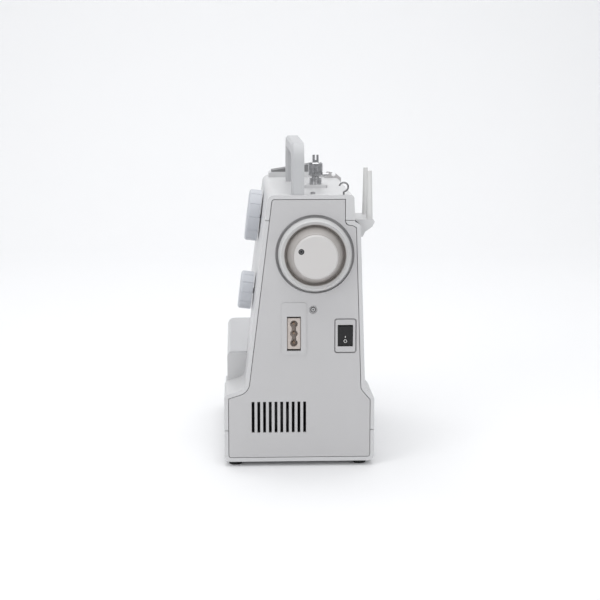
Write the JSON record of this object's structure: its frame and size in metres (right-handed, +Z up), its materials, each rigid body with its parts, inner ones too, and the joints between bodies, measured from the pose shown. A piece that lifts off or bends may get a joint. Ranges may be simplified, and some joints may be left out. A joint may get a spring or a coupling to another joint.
{
  "type": "overlock sewing machine",
  "caption": "Upright off-white overlock sewing machine with a big handwheel on its end, a power socket and switch, tension dials, spool pins and a carry handle.",
  "frame": {"origin": "On the table, under the middle of the machine's bounding box.", "axes": "+Z up, +X towards the handwheel end, -Y towards the operator who faces the tension dials."},
  "size_m": [0.305, 0.152, 0.327],
  "materials": {
    "housing": "satin off-white moulded plastic",
    "end_panel": "fine-grained light grey moulded plastic",
    "wheel": "satin warm grey plastic",
    "dial": "matte cool grey plastic",
    "pin_plastic": "satin grey-white plastic",
    "dark_plastic": "black moulded plastic",
    "socket": "beige moulded plastic",
    "grey_plastic": "dark grey plastic",
    "rubber": "black rubber",
    "chrome": "bright plated steel",
    "steel": "ground steel",
    "cast": "die-cast alloy",
    "alloy": "turned alloy",
    "bronze": "turned bronze",
    "motor_paint": "black paint"
  },
  "bodies": {
    "housing": {"arm_frame": "cast", "base_pan": "housing", "bed_shell": "housing", "carry_handle": "housing", "cloth_plate": "chrome", "feed_guide": "cast", "front_cover": "housing", "guide_clip": "chrome", "guide_pad": "housing", "hook_guide": "chrome", "inlet_contacts": "bronze", "knife_guide": "cast", "left_end_cap": "housing", "looper_bracket": "cast", "looper_pins": "steel", "lower_knife": "steel", "motor": "motor_paint", "motor_belt": "rubber", "needle_plate": "chrome", "panel_screw": "chrome", "power_inlet": "socket", "rear_cover": "housing", "rear_eyelet_plate": "chrome", "right_end_panel": "end_panel", "right_frame_plate": "cast", "rubber_feet": "rubber", "shaft_bushes": "bronze", "spool_pins": "pin_plastic", "spool_shelf": "housing", "switch_frame": "end_panel", "take_up_cover": "grey_plastic", "tension_posts": "steel", "thread_guide_post": "chrome", "throat_cover": "housing", "top_cover": "housing"},
    "drive": {"main_shaft": "steel", "drive_pulley": "alloy", "needle_crank": "steel", "handwheel": "wheel", "handwheel_cap": "wheel", "handwheel_screw": "chrome"},
    "motor_rotor": {"motor_shaft": "steel", "motor_pulley": "alloy"},
    "needle_carrier": {"needle_bar": "steel", "needle": "chrome"},
    "presser": {"presser_bar": "steel", "presser_foot": "chrome"},
    "lifter": {"presser_lifter": "steel"},
    "feed": {"feed_dog": "steel"},
    "knife": {"upper_knife": "steel", "knife_arm": "steel"},
    "lower_looper": {"lower_looper": "steel"},
    "upper_looper": {"upper_looper": "steel"},
    "looper_door": {"looper_cover": "housing", "looper_cover_pin": "steel"},
    "needle_dial": {"needle_tension_dial": "dial"},
    "looper_dial": {"looper_tension_dial": "dial"},
    "rocker": {"switch_rocker": "dark_plastic"}
  },
  "joints": [
    {"name": "drive_spin", "type": "hinge", "parent": "housing", "child": "drive", "pos_m": [0, 0.0153, 0.217], "axis": [1, 0, 0], "continuous": true},
    {"name": "motor_spin", "type": "hinge", "parent": "housing", "child": "motor_rotor", "pos_m": [0.086, -0.022, 0.046], "axis": [1, 0, 0], "continuous": true},
    {"name": "needle_slide", "type": "slide", "parent": "housing", "child": "needle_carrier", "axis": [0, 0, 1], "range_m": [-0.024, 0]},
    {"name": "presser_raise", "type": "slide", "parent": "housing", "child": "presser", "axis": [0, 0, 1], "range_m": [0, 0.006]},
    {"name": "lifter_swing", "type": "hinge", "parent": "housing", "child": "lifter", "pos_m": [-0.06, 0.064, 0.176], "axis": [0, 1, 0], "range_deg": [0, 75]},
    {"name": "feed_slide", "type": "slide", "parent": "housing", "child": "feed", "axis": [0, 1, 0], "range_m": [-0.002, 0.002]},
    {"name": "knife_slide", "type": "slide", "parent": "housing", "child": "knife", "axis": [0, 0, 1], "range_m": [-0.0065, 0]},
    {"name": "lower_looper_rock", "type": "hinge", "parent": "housing", "child": "lower_looper", "pos_m": [-0.092, 0.012, 0.07], "axis": [0, 1, 0], "range_deg": [-10, 10]},
    {"name": "upper_looper_rock", "type": "hinge", "parent": "housing", "child": "upper_looper", "pos_m": [-0.116, 0.005, 0.062], "axis": [0, 1, 0], "range_deg": [-8, 8]},
    {"name": "looper_cover_open", "type": "hinge", "parent": "housing", "child": "looper_door", "pos_m": [-0.046, -0.07, 0.0478], "axis": [1, 0, 0], "range_deg": [0, 85]},
    {"name": "needle_tension_turn", "type": "hinge", "parent": "housing", "child": "needle_dial", "pos_m": [-0.038, -0.03559, 0.239], "axis": [0, -0.9924, 0.123], "range_deg": [-150, 150]},
    {"name": "looper_tension_turn", "type": "hinge", "parent": "housing", "child": "looper_dial", "pos_m": [0.042, -0.04439, 0.168], "axis": [0, -0.9924, 0.123], "range_deg": [-150, 150]},
    {"name": "switch_rock", "type": "hinge", "parent": "housing", "child": "rocker", "pos_m": [0.1234, 0.0462, 0.1342], "axis": [0, -1, 0], "range_deg": [0, 14]}
  ],
  "couplings": [
    {"joint": "motor_spin", "follows": "drive_spin", "ratio": 2.8},
    {"joint": "lifter_swing", "follows": "presser_raise", "rad_per_m": 218.1}
  ]
}
